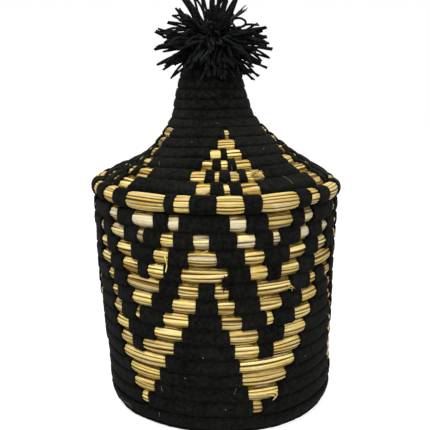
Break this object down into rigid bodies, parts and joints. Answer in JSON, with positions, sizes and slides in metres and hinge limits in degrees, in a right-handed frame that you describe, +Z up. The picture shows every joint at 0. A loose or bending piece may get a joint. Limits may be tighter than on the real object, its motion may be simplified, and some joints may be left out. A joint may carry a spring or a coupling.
{
  "type": "lidded coiled basket",
  "caption": "Round straw basket coiled from rope bound with black wool, with a cone-shaped lift-off lid and a wool pom-pom.",
  "frame": {"origin": "centre of the flat underside, on the basket's axis", "axes": "+Z up along the basket's axis, the way the lid lifts; -Y towards the side that faces the picture's viewer; +X to the right in the picture"},
  "size_m": [0.2454, 0.2454, 0.406],
  "materials": {
    "wool_bound_rope": "straw rope bound with black wool, straw bare in a pattern",
    "straw": "bare golden straw, low sheen",
    "wool": "matte felted black wool",
    "yarn": "matte black yarn"
  },
  "bodies": {
    "basket": {"body_coil": "wool_bound_rope"},
    "lid": {"edge_coil": "straw", "edge_binding_1": "wool", "edge_binding_2": "wool", "edge_binding_3": "wool", "edge_binding_4": "wool", "edge_binding_5": "wool", "edge_binding_6": "wool", "edge_binding_7": "wool", "edge_binding_8": "wool", "edge_binding_9": "wool", "edge_binding_10": "wool", "edge_binding_11": "wool", "edge_binding_12": "wool", "edge_binding_13": "wool", "edge_binding_14": "wool", "edge_binding_15": "wool", "edge_binding_16": "wool", "lid_coil": "wool_bound_rope", "collar_coil": "straw", "pompom": "yarn", "pompom_tie": "yarn"}
  },
  "joints": [
    {"name": "lid_lift", "type": "slide", "parent": "basket", "child": "lid", "axis": [0, 0, 1], "range_m": [0, 0.2]}
  ]
}
